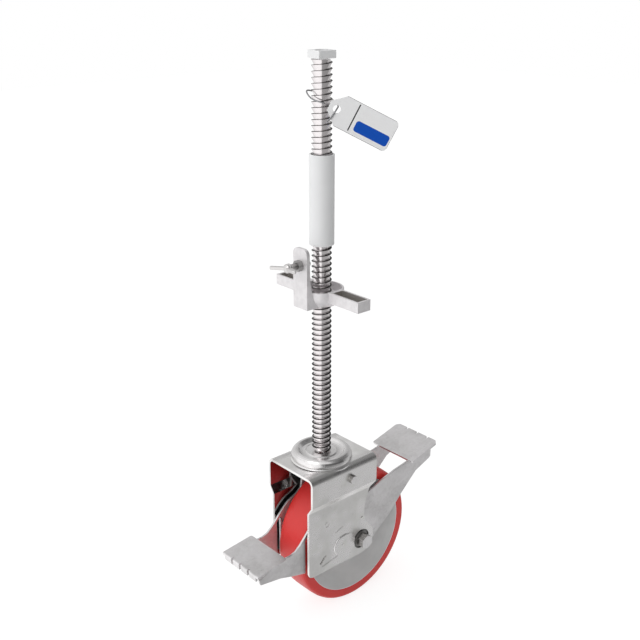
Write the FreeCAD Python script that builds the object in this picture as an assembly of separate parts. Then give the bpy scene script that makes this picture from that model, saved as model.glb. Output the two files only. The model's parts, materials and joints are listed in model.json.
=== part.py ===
"""Scaffold castor: threaded spindle with an adjusting nut, over a braked swivel wheel.

Millimetres. +Z runs up the spindle and the origin is on its axis, where the stem leaves the
swivel head. +X points to the side the wheel trails to, and Y runs along the axle.
"""

import FreeCAD
import Part
import math
import os

V = FreeCAD.Vector
X_AXIS = V(1, 0, 0)
Y_AXIS = V(0, 1, 0)
Z_AXIS = V(0, 0, 1)

# Spindle
CREST_R = 13.0
ROOT_R = 9.4
PITCH = 7.08
THREAD_SIDES = 16
TOP_FLANK = 0.9
THREAD_LOW = 2.4
THREAD_HIGH = 516.6
ROOT_PHASE = -1.9
SHANK_R = 9.0
TENON_R = 8.0
STOP_LOW = THREAD_HIGH + 1.4
STOP_HIGH = 9.0

# Wheel
WHEEL_R = 100.0
TREAD_THICK = 15.0
CORE_R = WHEEL_R - TREAD_THICK
TREAD_HALF = 25.0
HUB_STEP = 2.2
TUBE_R = 10.0
HEAD_ROOM = 40.0
AXLE_X = 41.0
AXLE_Z = -(WHEEL_R + HEAD_ROOM)

# Widths from the middle outward: hub, brake plate, fork leg, fork head
ARM_GAP = 1.5
ARM_SHEET = 3.0
LEG_GAP = 3.3
SHEET = 3.5
JOGGLE_STEP = 7.5
HUB_HALF = TREAD_HALF + HUB_STEP
ARM_IN = HUB_HALF + ARM_GAP
ARM_OUT = ARM_IN + ARM_SHEET
LEG_IN = ARM_OUT + LEG_GAP
LEG_HALF = LEG_IN + SHEET
HEAD_HALF = LEG_HALF + JOGGLE_STEP

# Fork
PLATE_TOP = -10.0
JOGGLE_TOP = -51.0
JOGGLE_END = -62.0
LEG_FOOT = 23.5
LEG_END = AXLE_Z - LEG_FOOT
FORK_FRONT = -56.0
FORK_REAR = 61.0

# Brake
PIN_X = 14.5
PIN_Z = -31.0
PIN_R = 6.0
BAR_TURN = 113.5
BAR_CLEAR = 12.0
BAR_REACH = WHEEL_R + BAR_CLEAR
BAR_R = 3.5
BAR_END_R = 3.0
COLLAR_R = 7.6
COLLAR_END = 20.6
SPRING_R = 7.3
SPRING_WIRE_R = 0.8
PAD_GAP = 0.35
PAD_THICK = 1.8
TONGUE_THICK = 2.4
SHOE_LIFT = 2.75

# Adjusting nut
CUP_R = 29.0
SEAT_R = 26.0
SEAT_Z = 222.0
CUP_TOP = 234.0
NUT_LOW = 213.0
ARM_END = 79.0
CLAMP_X = -36.0
CLAMP_TOP = 292.0
SCREW_Z = 270.0
SCREW_R = 4.0

# Tag wire
WIRE_R = 1.0
WIRE_BACK = 12.5
WIRE_STEPS = 72


def export(node, shape):
    """Write one node as its own STEP file."""
    shape.exportStep("parts/" + node + ".step")


def revolved(points, centre, axis):
    """Turn a closed half section, given as 3-D points, once round an axis."""
    wire = Part.makePolygon(points + [points[0]])
    return Part.Face(wire).revolve(centre, axis, 360)


def turned(section):
    """Revolve a section of (radius, height) pairs about the spindle."""
    return revolved([V(r, 0, z) for r, z in section], V(0, 0, 0), Z_AXIS)


def axle_turned(section):
    """Revolve a section of (radius, width) pairs about the axle."""
    points = [V(AXLE_X + r, y, AXLE_Z) for r, y in section]
    return revolved(points, V(AXLE_X, 0, AXLE_Z), Y_AXIS)


def across(x, z, radius, low, high):
    """A round bar that runs along Y from low to high."""
    return Part.makeCylinder(radius, high - low, V(x, low, z), Y_AXIS)


def side_plate(points, low, high):
    """Extrude a closed side view, in X and Z, along Y from low to high."""
    wire = Part.makePolygon([V(x, low, z) for x, z in points + [points[0]]])
    return Part.Face(wire).extrude(V(0, high - low, 0))


def mirrored(shape):
    """The same piece on the other side of the wheel."""
    return shape.mirror(V(0, 0, 0), Y_AXIS)


def rounded(shape, radius, test):
    """Fillet the edges whose middle point passes a test."""
    edges = []
    for edge in shape.Edges:
        middle = edge.valueAt(0.5 * (edge.FirstParameter + edge.LastParameter))
        if test(edge, middle):
            edges.append(edge)
    return shape.makeFillet(radius, edges)


def on_wheel(radius, degrees):
    """A side view point at a radius and an angle round the axle."""
    a = math.radians(degrees)
    return (AXLE_X + radius * math.cos(a), AXLE_Z + radius * math.sin(a))


def from_axle(points):
    """Side view points, given along and up from the axle."""
    return [(AXLE_X + u, AXLE_Z + w) for u, w in points]


def band(inner, outer, start, end, steps):
    """Side view of a plate that follows the tread between two angles."""
    angles = [start + (end - start) * i / steps for i in range(steps + 1)]
    far = [on_wheel(outer, a) for a in angles]
    near = [on_wheel(inner, a) for a in reversed(angles)]
    return far + near


def hexagon(flats, height, centre, axis):
    """A hexagonal bar of a width across flats, along an axis."""
    r = flats / math.sqrt(3)
    points = [V(r * math.sin(math.radians(60 * i)), r * math.cos(math.radians(60 * i)), 0)
              for i in range(7)]
    bar = Part.Face(Part.makePolygon(points)).extrude(V(0, 0, height))
    bar.Placement = FreeCAD.Placement(centre, FreeCAD.Rotation(Z_AXIS, axis))
    return bar


def helix_point(radius, base, step):
    """A corner of the thread, where the helix passes one of the facet lines."""
    angle = 2 * math.pi * step / THREAD_SIDES
    height = base + PITCH * step / THREAD_SIDES
    return V(radius * math.cos(angle), radius * math.sin(angle), height)


def triangle(a, b, c):
    """A flat facet."""
    return Part.Face(Part.makePolygon([a, b, c, a]))


def faceted_rod(points, radius, sides):
    """A bent rod as flat facets: its path's points, its radius and the sides of its section."""
    rings = []
    across_path = None
    for i, point in enumerate(points):
        ahead = points[min(i + 1, len(points) - 1)] - points[max(i - 1, 0)]
        ahead.normalize()
        if across_path is None:
            across_path = ahead.cross(V(0.31, 0.23, 0.92))
        across_path = across_path - ahead * across_path.dot(ahead)
        across_path.normalize()
        third = ahead.cross(across_path)
        ring = []
        for k in range(sides):
            a = 2 * math.pi * k / sides
            ring.append(point + across_path * (radius * math.cos(a)) + third * (radius * math.sin(a)))
        rings.append(ring)
    faces = [Part.Face(Part.makePolygon(rings[0] + [rings[0][0]])),
             Part.Face(Part.makePolygon(rings[-1] + [rings[-1][0]]))]
    for low, high in zip(rings, rings[1:]):
        for k in range(sides):
            n = (k + 1) % sides
            faces.append(triangle(low[k], low[n], high[n]))
            faces.append(triangle(low[k], high[n], high[k]))
    shell = Part.makeShell(faces)
    shell.sewShape()
    rod = Part.Solid(shell)
    if rod.Volume < 0:
        rod.reverse()
    return rod


def thread_facets(low, high):
    """Both flanks of a right-hand thread as facets, trimmed level at its two ends.

    Each tooth has a nearly flat top and a long slope under it that runs in to the root.
    """
    above = Part.makeBox(60, 60, 900, V(-30, -30, low))
    below = Part.makeBox(60, 60, 900, V(-30, -30, high - 900))
    root = ROOT_PHASE
    crest = root - TOP_FLANK
    next_crest = crest + PITCH
    first = int(math.floor((low - next_crest - PITCH) / PITCH)) * THREAD_SIDES
    last = int(math.ceil((high - crest + PITCH) / PITCH)) * THREAD_SIDES
    faces = []
    for i in range(first, last):
        c0 = helix_point(CREST_R, next_crest, i)
        c1 = helix_point(CREST_R, next_crest, i + 1)
        r0 = helix_point(ROOT_R, root, i)
        r1 = helix_point(ROOT_R, root, i + 1)
        d0 = helix_point(CREST_R, crest, i)
        d1 = helix_point(CREST_R, crest, i + 1)
        for corners in ((c0, c1, r1), (c0, r1, r0), (r0, r1, d1), (r0, d1, d0)):
            face = triangle(*corners)
            box = face.BoundBox
            if box.ZMax <= low + 1e-7 or box.ZMin >= high - 1e-7:
                continue
            if box.ZMin < low - 1e-7:
                faces.extend(face.common(above).Faces)
            elif box.ZMax > high + 1e-7:
                faces.extend(face.common(below).Faces)
            else:
                faces.append(face)
    return faces


def level_cap(faces, height):
    """Close the thread with the flat face its trimmed edges leave at a height."""
    rim = []
    for face in faces:
        for edge in face.Edges:
            box = edge.BoundBox
            if abs(box.ZMin - height) < 1e-5 and abs(box.ZMax - height) < 1e-5:
                rim.append(edge)
    return Part.Face(Part.Wire(Part.__sortEdges__(rim)))


def make_spindle():
    """Threaded bar with a plain shank, a riveted foot and a tenon for the end stop."""
    faces = thread_facets(THREAD_LOW, THREAD_HIGH)
    faces += [level_cap(faces, THREAD_LOW), level_cap(faces, THREAD_HIGH)]
    shell = Part.makeShell(faces)
    shell.sewShape()
    thread = Part.Solid(shell)
    if thread.Volume < 0:
        thread.reverse()
    foot = turned([(0, -23.4), (9.5, -23.4), (11.6, -22), (12, -19), (SHANK_R, -19),
                   (SHANK_R, THREAD_LOW), (0, THREAD_LOW)])
    tenon = Part.makeCylinder(TENON_R, STOP_LOW + STOP_HIGH - THREAD_HIGH + 0.2, V(0, 0, THREAD_HIGH))
    return thread.fuse(foot).fuse(tenon)


def make_end_stop():
    """Square block on the spindle's top, turned a little, with one nicked corner."""
    half = 12.4
    top = STOP_LOW + STOP_HIGH
    block = Part.makeBox(2 * half, 2 * half, STOP_HIGH, V(-half, -half, STOP_LOW))
    block = rounded(block, 0.8, lambda e, m: abs(e.BoundBox.ZLength) > 5)
    block = block.cut(Part.makeCylinder(TENON_R + 0.05, 20, V(0, 0, top - 20)))
    nick = Part.makeBox(5, 5, 3, V(half - 3, half - 3, top - 1.8))
    block = block.cut(nick)
    block.rotate(V(0, 0, 0), Z_AXIS, -7.1)
    return block


def make_sleeve():
    """Thin plastic tube that keeps the spindle central in the scaffold tube."""
    return turned([(13.9, 291), (15.6, 291), (16, 291.5), (16, 404.3), (15.6, 404.8), (13.9, 404.8)])


def make_cap():
    """Dished bearing cap, with the hub that the fork turns round."""
    section = [
        (SHANK_R, 0.0), (20.4, 0.0), (21.0, -0.5), (22.4, -1.3), (25.0, -1.7), (27.6, -1.2),
        (29.8, 0.2), (31.6, 2.2), (33.0, 3.1), (34.6, 3.3), (36.6, 2.8), (38.6, 1.5),
        (40.4, -0.6), (41.4, -2.8), (41.8, -5.0), (41.8, -6.9), (39.6, -6.9), (39.6, -4.2),
        (16.0, -4.2), (16.0, -15.0), (SHANK_R, -15.0)]
    groove = Part.makeTorus(33.0, 3.16, V(0, 0, -5.4))
    return turned(section).cut(groove)


def make_seal():
    """Rubber ring inside the cap's skirt."""
    return turned([(36.9, -4.3), (39.5, -4.3), (39.5, -7.2), (38.6, -7.2), (36.9, -5.6)])


def make_lower_race():
    """Hardened cup under the fork plate that carries the lower balls."""
    section = [
        (SHANK_R, -15.0), (28.6, -15.0), (28.6, -12.4), (31.0, -12.4), (31.0, -17.4),
        (29.4, -19.0), (SHANK_R, -19.0)]
    return turned(section).cut(Part.makeTorus(24.5, 2.56, V(0, 0, -13.7)))


def make_balls(count, pitch_r, ball_r, height):
    """A full ring of bearing balls, as separate solids of one node."""
    balls = []
    for i in range(count):
        a = 2 * math.pi * i / count
        balls.append(Part.makeSphere(ball_r, V(pitch_r * math.cos(a), pitch_r * math.sin(a), height)))
    return Part.makeCompound(balls)


def fork_section():
    """End view of the pressed sheet: a hood whose legs step in towards the wheel."""
    h = HEAD_HALF
    g = LEG_HALF
    t = SHEET
    x0 = -90.0
    span = 220.0
    outer = [(-h, PLATE_TOP), (h, PLATE_TOP), (h, JOGGLE_TOP), (g, JOGGLE_END), (g, -190.0),
             (-g, -190.0), (-g, JOGGLE_END), (-h, JOGGLE_TOP)]
    drop = 1.1
    inner = [(-h + t, PLATE_TOP - t), (h - t, PLATE_TOP - t), (h - t, JOGGLE_TOP - drop),
             (g - t, JOGGLE_END - drop), (g - t, -200.0), (-g + t, -200.0),
             (-g + t, JOGGLE_END - drop), (-h + t, JOGGLE_TOP - drop)]

    def prism(points, radius, corner):
        wire = Part.makePolygon([V(x0, y, z) for y, z in points + [points[0]]])
        solid = Part.Face(wire).extrude(V(span, 0, 0))
        return rounded(solid, radius, lambda e, m: e.BoundBox.XLength > 100
                       and abs(abs(m.y) - corner[0]) < 0.1 and abs(m.z - corner[1]) < 0.1)

    hood = prism(outer, 9.0, (h, PLATE_TOP))
    void = prism(inner, 5.5, (h - t, PLATE_TOP - t))
    hood = hood.cut(void)
    steps = (JOGGLE_TOP, JOGGLE_END, JOGGLE_TOP - drop, JOGGLE_END - drop)
    return rounded(hood, 2.4, lambda e, m: e.BoundBox.XLength > 100
                   and any(abs(m.z - s) < 0.05 for s in steps))


def fork_outline():
    """Side view of the fork, as a prism that trims the pressed sheet."""
    wide = 120.0
    front = FORK_FRONT
    drop = AXLE_Z - JOGGLE_END
    points = [
        (front, 20.0), (FORK_REAR, 20.0), (FORK_REAR, -46.0), (59.6, -55.0), (56.0, JOGGLE_END - 1)]
    waist = ((11.0, 0.109), (7.6, 0.231), (5.4, 0.385), (5.0, 0.538), (7.5, 0.654))
    points += [(AXLE_X + u, JOGGLE_END + k * drop) for u, k in waist]
    points += [on_wheel(LEG_FOOT, a) for a in (50.0, 30.0, 10.0, -10.0, -30.0, -50.0, -70.0, -90.0)]
    points += [(front + 6.5, LEG_END), (front + 1.9, LEG_END + 1.9), (front, LEG_END + 6.5)]
    return side_plate(points, -wide / 2, wide / 2)


def make_fork():
    """Pressed fork: top plate with its raised ring, stepped legs and their holes."""
    fork = fork_section().common(fork_outline())
    ring = turned([(19.0, -7.5), (39.0, -7.5), (40.6, -8.2), (43.6, -11.0), (43.6, -13.5),
                   (41.6, -13.5), (38.4, -11.0), (19.0, -11.0)])
    clear = Part.makeCylinder(42.3, 12.0, V(0, 0, -20.0))
    fork = fork.cut(clear).fuse(ring)
    fork = fork.cut(Part.makeTorus(33.0, 3.16, V(0, 0, -5.4)))
    fork = fork.cut(Part.makeTorus(24.5, 2.56, V(0, 0, -13.7)))
    fork = fork.cut(Part.makeCylinder(19.0, 40.0, V(0, 0, -30.0)))
    fork = fork.cut(across(PIN_X, PIN_Z, PIN_R, -60, 60))
    fork = fork.cut(across(AXLE_X, AXLE_Z, 6.0, -60, 60))
    for side in (-1, 1):
        fork = dress_leg(fork, side)
    (hole_x, hole_z), = from_axle([(0.4, 34.4)])
    fork = fork.cut(across(hole_x, hole_z, 1.9, -60, 60))
    ends = from_axle([(-75.2, -7.2), (-73.0, -4.4), (-70.4, -2.2), (-67.6, -0.4)])
    for x, z in ends:
        fork = fork.cut(across(x, z, 2.3, -60, 60))
    return fork.removeSplitter()


def dress_leg(fork, side):
    """Marks pressed in one leg: the pad and the recess at the axle, a crease, a dimple and a slash."""
    outer = side * LEG_HALF

    def level(depth):
        return sorted((outer - side * depth, outer + side * 5))

    pad_outline = from_axle([
        (-43.0, -6.8), (-48.4, -4.4), (-51.6, 1.6), (-51.4, 8.6), (-47.0, 15.6), (-40.6, 19.4),
        (-30.0, 20.6), (-22.0, 18.4), (-13.5, 9.0), (-13.5, -8.6), (-20.0, -10.2)])
    low, high = sorted((outer - side * 1.0, outer + side * 1.3))
    pad = side_plate(pad_outline, low, high)
    pad = rounded(pad, 1.1, lambda e, m: abs(m.y - (outer + side * 1.3)) < 0.01
                  and m.z > AXLE_Z - 5.5 and m.x < AXLE_X - 16.0)
    fork = fork.fuse(pad)
    low, high = level(1.6)
    fork = fork.cut(across(AXLE_X, AXLE_Z, 14.5, low, high))
    low, high = level(0.6)
    (x, z), = from_axle([(-64.5, 49.6)])
    fork = fork.cut(across(x, z, 4.4, low, high).cut(across(x, z, 3.0, low, high)))
    slash = from_axle([(-49.6, 30.4), (-36.4, 35.8), (-35.8, 34.2), (-49.0, 28.6)])
    fork = fork.cut(side_plate(slash, low, high))
    crease = from_axle([(-74.0, -12.6), (-44.0, -7.8), (-43.8, -9.0), (-73.6, -14.4)])
    fork = fork.cut(side_plate(crease, low, high))
    low, high = sorted((outer + side * 0.4, outer + side * 5))
    (x, z), = from_axle([(-36.0, 6.6)])
    return fork.cut(across(x, z, 1.7, low, high))


def make_cross_pin():
    """Pin through the fork's hood that the brake lever hangs on."""
    end = HEAD_HALF + 5.5
    pin = across(PIN_X, PIN_Z, PIN_R, -end, end)
    return pin.makeChamfer(0.6, [e for e in pin.Edges if e.BoundBox.YLength < 0.1])


def make_axle_bolt():
    """Axle bolt, its head on the near side."""
    seat = LEG_HALF - 0.1
    face = seat + 12.6
    end = seat + 15.6
    head = hexagon(18.0, face - seat, V(AXLE_X, -seat, AXLE_Z), V(0, -1, 0))
    trim = axle_turned([(0, -seat), (12, -seat), (12, 0.8 - face), (9.4, -face), (0, -face)])
    bar = axle_turned([(0, -seat), (6.0, -seat), (6.0, end - 1.2), (5.0, end), (0, end)])
    return bar.fuse(head.common(trim))


def make_axle_nut():
    """Nut on the far end of the axle bolt."""
    seat = LEG_HALF - 0.1
    face = seat + 10.6
    nut = hexagon(18.0, face - seat, V(AXLE_X, seat, AXLE_Z), V(0, 1, 0))
    trim = axle_turned([(0, seat), (12, seat), (12, face - 0.8), (9.4, face), (0, face)])
    return nut.common(trim).cut(across(AXLE_X, AXLE_Z, 6.03, seat - 1, face + 1))


def make_washers():
    """One washer in each leg's recess."""
    low = -(LEG_HALF - 0.1)
    high = -(LEG_HALF - 1.6)
    near = axle_turned([(6.1, high), (11.8, high), (11.8, low), (6.1, low)])
    return Part.makeCompound([near, mirrored(near)])


def make_axle_tube():
    """Tube between the legs that the wheel's bushes turn on."""
    end = LEG_IN - 0.1
    return axle_turned([(6.1, -end), (TUBE_R, -end), (TUBE_R, end), (6.1, end)])


def make_pivot_bushes():
    """Rings pressed on the tube's ends that the brake plates rock on."""
    inner = 0.1 - ARM_IN
    outer = -0.2 - ARM_OUT
    end = 0.1 - LEG_IN
    near = axle_turned([
        (TUBE_R, inner + 0.8), (14.5, inner + 0.8), (14.5, inner), (12.0, inner),
        (12.0, outer), (15.0, outer), (15.0, end), (TUBE_R, end)])
    return Part.makeCompound([near, mirrored(near)])


def make_core():
    """Moulded wheel centre with a slightly dished face on each side."""
    hub_r = 21.0
    dish = ((0.03, 22.4), (0.09, 20.2), (0.21, 19.2), (0.42, 19.0), (0.61, 19.6), (0.80, 21.4),
            (0.92, 23.4), (1.0, TREAD_HALF - 0.4))
    half = [(12.5, HUB_HALF), (19.5, HUB_HALF), (hub_r, HUB_HALF - 1.0)]
    half += [(hub_r + k * (CORE_R - hub_r), y) for k, y in dish]
    section = half + [(r, -y) for r, y in reversed(half)]
    return axle_turned(section)


def make_tread():
    """Cast tyre with a slight crown and soft shoulders."""
    section = [
        (CORE_R, TREAD_HALF - 0.4), (CORE_R + 0.8, TREAD_HALF), (WHEEL_R - 5.0, TREAD_HALF),
        (WHEEL_R - 3.0, 24.4), (WHEEL_R - 1.4, 22.6), (WHEEL_R - 0.5, 19.4), (WHEEL_R, 13.0)]
    full = section + [(r, -y) for r, y in reversed(section)]
    return axle_turned(full)


def make_hub_bushes():
    """Plain bushes pressed in both ends of the hub."""
    end = -HUB_HALF - 0.2
    near = axle_turned([(TUBE_R + 0.06, end), (12.5, end), (12.5, -8.0), (TUBE_R + 0.06, -8.0)])
    return Part.makeCompound([near, mirrored(near)])


def make_brake_plate():
    """Rocking side plate: a pedal arm each way from a broad middle round the axle.

    A slot from below parts the front arm from the rest, just in front of the fork.
    """
    bar_x, bar_z = on_wheel(BAR_REACH, BAR_TURN)
    rim = [on_wheel(23.0, a) for a in (-60.0, -75.0, -90.0, -105.0)]
    outline = from_axle([
        (-177.1, 8.4), (-134.0, 22.4), (-123.0, 22.4), (-115.0, 25.0), (-107.0, 31.4), (-99.5, 39.4),
        (-92.5, 47.4), (-85.0, 55.0), (-78.3, 60.6), (-71.6, 63.8), (-62.0, 67.6), (-54.0, 74.0)])
    outline += [(bar_x - 5.8, bar_z - 9.0), (bar_x - 5.4, bar_z + 1.6), (bar_x - 2.4, bar_z + 5.2),
                (bar_x + 2.4, bar_z + 5.0), (bar_x + 5.2, bar_z + 1.0), (bar_x + 6.8, bar_z - 12.0)]
    outline += from_axle([
        (-22.0, 66.0), (-8.0, 62.6), (18.3, 65.0), (30.6, 68.1), (44.6, 73.6), (61.6, 77.4), (71.5, 80.2),
        (96.1, 84.2), (104.0, 86.0), (147.1, 97.4), (147.1, 76.4), (144.0, 73.6), (116.0, 62.7),
        (86.1, 35.7), (61.3, 10.4), (43.3, -2.4), (28.2, -14.8)])
    outline += rim
    outline += from_axle([(-60.0, -18.6), (-95.1, -17.4), (-120.9, -10.9), (-142.0, -4.6),
                          (-174.7, 0.1)])
    plate = side_plate(outline, -ARM_OUT, -ARM_IN)
    slot = [(FORK_FRONT - 1.0, AXLE_Z - 30), (FORK_FRONT - 1.0, AXLE_Z + 35.4),
            (FORK_FRONT + 4.8, AXLE_Z + 41.6), (FORK_FRONT + 4.8, AXLE_Z - 30)]
    plate = plate.cut(side_plate(slot, -60.0, 0.0))
    (x, z), = from_axle([(-71.0, -1.0)])
    plate = plate.cut(across(x, z, 9.0, -60, 0))
    plate = plate.cut(across(AXLE_X, AXLE_Z, 12.06, -60, 0))
    return plate.cut(across(bar_x, bar_z, BAR_END_R + 0.03, -60, 0))


def make_push_bar():
    """Bar between the brake plates that lifts the lever's tail."""
    x, z = on_wheel(BAR_REACH, BAR_TURN)
    return across(x, z, BAR_END_R, -ARM_OUT, ARM_OUT).fuse(across(x, z, BAR_R, -ARM_IN, ARM_IN))


def make_front_pedal():
    """Front pedal: a plate with rounded corners and a notched lip turned down."""
    half = ARM_OUT + 6.9
    length = 50.0
    plate = Part.makeBox(length, 2 * half, ARM_SHEET, V(-length, -half, 0))
    plate = rounded(plate, 3.0, lambda e, m: e.BoundBox.ZLength > 2 and m.x > -1)
    lip = Part.makeBox(ARM_SHEET, 2 * half - 10, 9.0, V(-length, -half + 5, -6.0))
    plate = plate.fuse(lip)
    plate = rounded(plate, 2.4, lambda e, m: e.BoundBox.YLength > 60 and m.x < -length + 0.1 and m.z > 2.9)
    for y in (-17.5, 0.0, 17.5):
        plate = plate.cut(Part.makeBox(8.0, 4.0, 12.0, V(-length - 4.0, y - 2.0, -9.0)))
    for x in (-7.0, -38.0):
        for y in (-31.0, 31.0):
            plate = plate.cut(Part.makeCylinder(0.9, 1.0, V(x, y, ARM_SHEET - 0.4)))
    plate.rotate(V(0, 0, 0), Y_AXIS, -6.4)
    (x, z), = from_axle([(-135.0, 23.0)])
    plate.translate(V(x, 0, z))
    return plate


def make_rear_pedal():
    """Rear pedal: a rising plate, wider than the arms, with notches in its outer edge."""
    half = ARM_OUT + 9.3
    length = 56.0
    plate = Part.makeBox(length, 2 * half, ARM_SHEET, V(0, -half, 0))
    plate = plate.makeChamfer(5.0, [e for e in plate.Edges if e.BoundBox.ZLength > 2
                                    and e.BoundBox.XMin > length - 1])
    plate = rounded(plate, 2.5, lambda e, m: e.BoundBox.ZLength > 2 and m.x < 1)
    for y in (-20.0, 0.0, 20.0):
        plate = plate.cut(Part.makeBox(9.0, 3.6, 12.0, V(length - 4.0, y - 1.8, -3.0)))
    for x in (8.0, 42.0):
        for y in (-32.0, 32.0):
            plate = plate.cut(Part.makeCylinder(0.9, 1.0, V(x, y, ARM_SHEET - 0.4)))
    plate.rotate(V(0, 0, 0), Y_AXIS, -14.8)
    (x, z), = from_axle([(98.6, 84.8)])
    plate.translate(V(x, 0, z))
    return plate


def lift_shoe(shape):
    """Turn the brake shoe about its pin, from where it would grip the tread to where it rests."""
    shape.rotate(V(PIN_X, 0, PIN_Z), Y_AXIS, -SHOE_LIFT)
    return shape


def make_brake_lever():
    """Lever on the cross pin, with a tongue over the tread behind it and a tail over the push bar.

    The tail's underside runs along the bar's path, so that the bar lifts it all the way.
    """
    under = WHEEL_R + PAD_GAP + PAD_THICK
    middle = under + 0.5 * TONGUE_THICK
    over = under + TONGUE_THICK
    tongue = side_plate(band(under, over, 80.0, 100.0, 6), -20.0, 20.0)
    cheek = side_plate([
        (PIN_X - 2.0, PIN_Z + COLLAR_R), (PIN_X - 14.0, PIN_Z + 4.6), (PIN_X - 24.0, PIN_Z + 0.6),
        (PIN_X - 24.0, PIN_Z - 2.9), (PIN_X - 9.1, PIN_Z + 0.9), (PIN_X - COLLAR_R, PIN_Z),
        (PIN_X - 4.0, PIN_Z - 6.4), on_wheel(middle, 100.0), on_wheel(middle, 93.3),
        on_wheel(middle, 86.7), on_wheel(over + 1.6, 86.0), on_wheel(over + 7.0, 92.0),
        (PIN_X + 7.0, PIN_Z + 3.4)], 17.0, 20.0)
    collar = across(PIN_X, PIN_Z, COLLAR_R, COLLAR_END - 5.2, COLLAR_END)
    side = cheek.fuse(collar)
    lever = tongue.fuse(side).fuse(mirrored(side))
    lever = lever.cut(across(PIN_X, PIN_Z, PIN_R + 0.06, -60, 60)).removeSplitter()
    return lift_shoe(lever)


def make_brake_pad():
    """Friction pad under the lever's tongue."""
    top = WHEEL_R + PAD_GAP + PAD_THICK
    return lift_shoe(side_plate(band(WHEEL_R + PAD_GAP, top, 80.0, 96.6667, 5), -18.0, 18.0))


def make_return_spring():
    """Coil round the cross pin that lifts the lever off the tread."""
    turns = 2.5
    steps = 40
    first = -(COLLAR_END + 0.8 + SPRING_WIRE_R)
    last = -(ARM_IN - 0.7 - SPRING_WIRE_R)
    points = []
    for i in range(steps + 1):
        a = 2 * math.pi * turns * i / steps
        x = PIN_X + SPRING_R * math.cos(a)
        y = first + (last - first) * i / steps
        points.append(V(x, y, PIN_Z + SPRING_R * math.sin(a)))
    return faceted_rod(points, SPRING_WIRE_R, 6)


def make_adjusting_nut():
    """Cast nut: cup for the scaffold tube, two hollow handles and the clamp lug."""
    body = turned([(0, NUT_LOW), (20.4, NUT_LOW), (22.0, NUT_LOW + 1.2), (26.6, SEAT_Z - 1.0),
                   (28.2, 225.0), (CUP_R, CUP_TOP - 1.0), (CUP_R - 0.8, CUP_TOP), (0, CUP_TOP)])
    floor = 221.0
    top = 235.0
    for side in (-1, 1):
        low, high = sorted((side * 20.0, side * ARM_END))
        arm = Part.makeBox(22.0, high - low, top - floor, V(-11.0, low, floor))
        arm = rounded(arm, 1.2, lambda e, m: e.BoundBox.ZLength > 10 and abs(m.y) > 70)
        low, high = sorted((side * 30.5, side * (ARM_END - 3.0)))
        pocket = Part.makeBox(16.6, high - low, 20.0, V(-8.3, low, floor + 3.0))
        pocket = rounded(pocket, 1.5, lambda e, m: e.BoundBox.ZLength > 10)
        body = body.fuse(arm.cut(pocket))
    lug = side_plate([(CLAMP_X, NUT_LOW), (CLAMP_X, CLAMP_TOP), (CLAMP_X + 4.6, CLAMP_TOP),
                      (CLAMP_X + 5.4, 250.0), (CLAMP_X + 8.4, 234.0), (-16.0, 230.0),
                      (-16.0, NUT_LOW)], -13.3, 13.3)
    lug = rounded(lug, 8.0, lambda e, m: e.BoundBox.XLength > 3 and m.z > CLAMP_TOP - 0.1
                  and e.BoundBox.YLength < 1)
    body = body.fuse(lug)
    cup = turned([(0, SEAT_Z), (SEAT_R - 0.6, SEAT_Z), (SEAT_R, SEAT_Z + 0.6), (SEAT_R, 240), (0, 240)])
    body = body.cut(cup)
    body = body.cut(Part.makeCylinder(13.4, 60.0, V(0, 0, 200.0)))
    body = body.cut(Part.makeCylinder(SCREW_R + 0.08, 40.0, V(-60.0, 0, SCREW_Z), X_AXIS))
    return body.removeSplitter()


def make_clamp_nut():
    """Hexagon nut welded on the lug for the clamp screw."""
    nut = hexagon(13.0, 6.6, V(CLAMP_X, 0, SCREW_Z), V(-1, 0, 0))
    return nut.cut(Part.makeCylinder(SCREW_R + 0.08, 40.0, V(-60.0, 0, SCREW_Z), X_AXIS))


def make_wing_screw():
    """Clamp screw with a ribbed head and two wings swept away from the lug."""
    profile = [(-21.0, 0), (-21.0, 3.0), (-22.0, SCREW_R), (-47.0, SCREW_R), (-52.5, 5.0),
               (-53.0, 6.0), (-55.0, 6.0), (-55.4, 5.3), (-56.0, 5.3), (-56.4, 6.0), (-58.2, 5.6),
               (-59.8, 3.8), (-60.6, 0)]
    points = [V(x, 0, SCREW_Z + r) for x, r in profile]
    screw = revolved(points, V(0, 0, SCREW_Z), X_AXIS)
    span = [(-52.6, 0.0), (-59.0, 0.0), (-65.0, 15.0), (-67.0, 22.0), (-64.6, 24.6), (-61.6, 23.6),
            (-57.4, 12.0)]
    wire = Part.makePolygon([V(x, y, SCREW_Z - 2.2) for x, y in span + [span[0]]])
    wing = Part.Face(wire).extrude(V(0, 0, 4.4))
    wing = rounded(wing, 1.4, lambda e, m: e.BoundBox.ZLength < 0.1 and m.y > 0.5)
    screw = screw.fuse(wing).fuse(mirrored(wing)).removeSplitter()
    screw.rotate(V(0, 0, SCREW_Z), X_AXIS, -6)
    return screw


def facing_plane(local_x, local_y, forward):
    """A point of the tag's upright plane, given along, up and out from the tag's hole."""
    turn = math.radians(41.4)
    lean = math.radians(-27.0)
    along = local_x * math.cos(lean) - local_y * math.sin(lean)
    up = local_x * math.sin(lean) + local_y * math.cos(lean)
    lateral = 17.8 + along
    x = lateral * math.cos(turn) - forward * math.sin(turn)
    y = -lateral * math.sin(turn) - forward * math.cos(turn)
    return V(x, y, 460.7 + up)


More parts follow.
